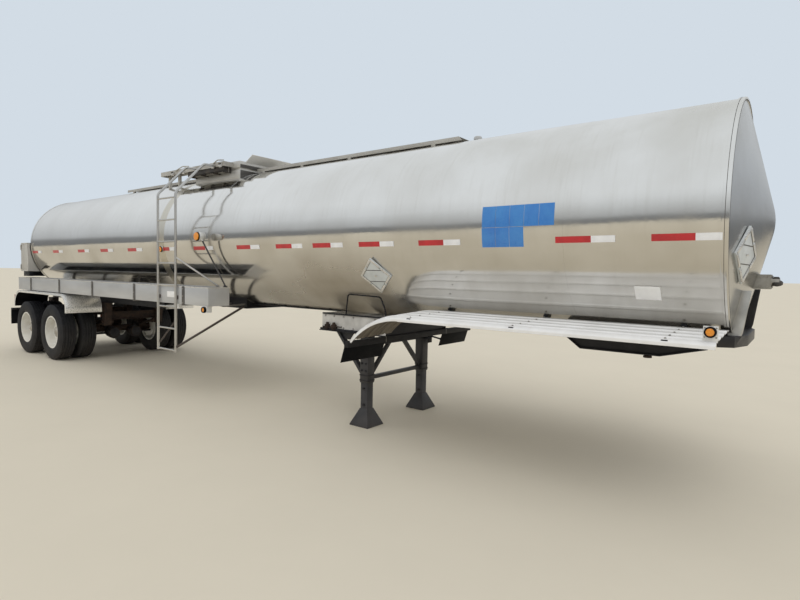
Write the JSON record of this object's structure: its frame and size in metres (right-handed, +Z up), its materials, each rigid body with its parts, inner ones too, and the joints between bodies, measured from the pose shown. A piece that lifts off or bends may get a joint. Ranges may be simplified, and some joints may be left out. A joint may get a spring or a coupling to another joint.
{
  "type": "insulated tank semi-trailer",
  "caption": "Insulated tank semi-trailer with polished jacket, ribbed fenders, hose trays, side ladder, landing legs and rear cabinet.",
  "frame": {"origin": "on the ground, under the middle of the bounding box", "axes": "+X forward to the coupler and kingpin, +Y to the trailer's left, +Z up"},
  "size_m": [12.972, 2.438, 3.332],
  "materials": {
    "mirror_stainless": "mirror polished stainless steel",
    "stainless": "mill finish stainless steel",
    "black_paint": "satin black chassis paint",
    "fender_sheet": "satin white painted sheet",
    "wheel_paint": "gloss cream white",
    "worn_steel": "rusty brown cast steel",
    "tyre": "dusty rubber",
    "flap_rubber": "matt rubber",
    "grip_aluminium": "dull aluminium grip plate",
    "amber": "amber lens",
    "red": "red lens"
  },
  "bodies": {
    "trailer": {"tank_jacket": "mirror_stainless", "front_head": "mirror_stainless", "rear_head": "mirror_stainless", "rim_bands": "mirror_stainless", "top_walkway": "grip_aluminium", "spill_dam": "stainless", "manhole_neck": "stainless", "work_platform": "grip_aluminium", "side_ladder": "stainless", "hose_tray_left": "stainless", "hose_tray_right": "stainless", "tray_brackets": "stainless", "rear_frame": "black_paint", "suspension_hangers": "worn_steel", "leaf_springs": "worn_steel", "axle_front": "black_paint", "axle_rear": "black_paint", "rear_fender_left": "stainless", "rear_fender_right": "stainless", "front_fender_left": "fender_sheet", "front_fender_right": "fender_sheet", "coupler_plate": "black_paint", "coupler_frame": "black_paint", "kingpin": "worn_steel", "nose_bolster": "black_paint", "coupling_box": "stainless", "landing_frame": "black_paint", "landing_legs": "black_paint", "landing_feet": "black_paint", "landing_braces": "black_paint", "landing_gearbox": "black_paint", "mud_flaps": "flap_rubber", "rear_bumper": "black_paint", "rear_cabinet": "stainless", "cabinet_supports": "black_paint", "rear_outlet": "stainless", "placard_holders": "grip_aluminium", "lamp_brackets": "fender_sheet", "side_lamps": "amber", "rear_lamps": "red", "air_reservoirs": "black_paint", "belly_conduit": "black_paint", "fender_arms": "black_paint", "ladder_struts": "stainless", "radius_rods": "worn_steel", "dam_flap": "grip_aluminium"},
    "front_left_wheels": {"tyres_front_left": "tyre", "wheels_front_left": "wheel_paint"},
    "front_right_wheels": {"tyres_front_right": "tyre", "wheels_front_right": "wheel_paint"},
    "rear_left_wheels": {"tyres_rear_left": "tyre", "wheels_rear_left": "wheel_paint"},
    "rear_right_wheels": {"tyres_rear_right": "tyre", "wheels_rear_right": "wheel_paint"},
    "manhole_cover": {"manhole_lid": "stainless"},
    "left_door": {"cabinet_door_left": "stainless"},
    "right_door": {"cabinet_door_right": "stainless"}
  },
  "joints": [
    {"name": "front_left_spin", "type": "hinge", "parent": "trailer", "child": "front_left_wheels", "pos_m": [-4.3535, 0, 0.51], "axis": [0, 1, 0], "continuous": true},
    {"name": "front_right_spin", "type": "hinge", "parent": "trailer", "child": "front_right_wheels", "pos_m": [-4.3535, 0, 0.51], "axis": [0, 1, 0], "continuous": true},
    {"name": "rear_left_spin", "type": "hinge", "parent": "trailer", "child": "rear_left_wheels", "pos_m": [-5.5985, 0, 0.51], "axis": [0, 1, 0], "continuous": true},
    {"name": "rear_right_spin", "type": "hinge", "parent": "trailer", "child": "rear_right_wheels", "pos_m": [-5.5985, 0, 0.51], "axis": [0, 1, 0], "continuous": true},
    {"name": "manhole_hinge", "type": "hinge", "parent": "trailer", "child": "manhole_cover", "pos_m": [-0.582, 0, 3.23], "axis": [0, -1, 0], "range_deg": [0, 110]},
    {"name": "left_door_hinge", "type": "hinge", "parent": "trailer", "child": "left_door", "pos_m": [-6.443, 1.013, 1.9], "axis": [0, 0, -1], "range_deg": [0, 110]},
    {"name": "right_door_hinge", "type": "hinge", "parent": "trailer", "child": "right_door", "pos_m": [-6.443, -1.013, 1.9], "axis": [0, 0, 1], "range_deg": [0, 110]}
  ]
}
